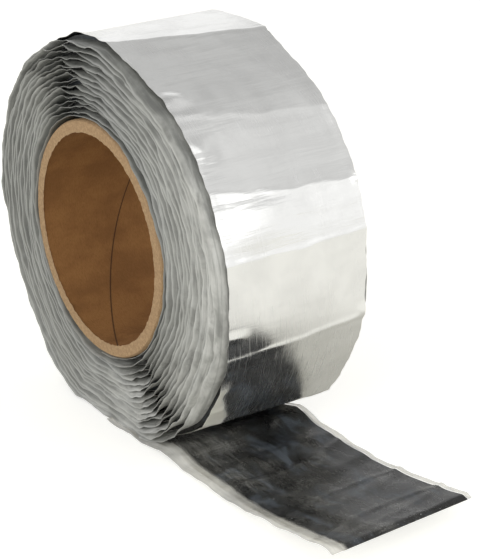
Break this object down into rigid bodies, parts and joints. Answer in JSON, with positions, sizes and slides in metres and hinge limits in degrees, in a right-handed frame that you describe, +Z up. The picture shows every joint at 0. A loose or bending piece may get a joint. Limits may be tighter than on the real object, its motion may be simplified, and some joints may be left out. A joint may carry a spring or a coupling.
{
  "type": "roll of heat reflective tape",
  "caption": "Roll of aluminium-faced butyl tape wound on a cardboard core with a clear release film, standing on a flat foot with a short tail unrolled",
  "frame": {"origin": "middle of the cardboard core's bore, on its axis", "axes": "+Y along the core's axis, away from the end that shows in the picture; +X towards the unrolled tail; +Z up"},
  "size_m": [0.2075, 0.0627, 0.1401],
  "materials": {
    "cardboard": "matte",
    "butyl": "satin",
    "foil": "satin",
    "film": "satin"
  },
  "bodies": {
    "root": {"core": "cardboard", "butyl_tape": "butyl", "foil_facing": "foil", "release_liner": "film"}
  },
  "joints": []
}
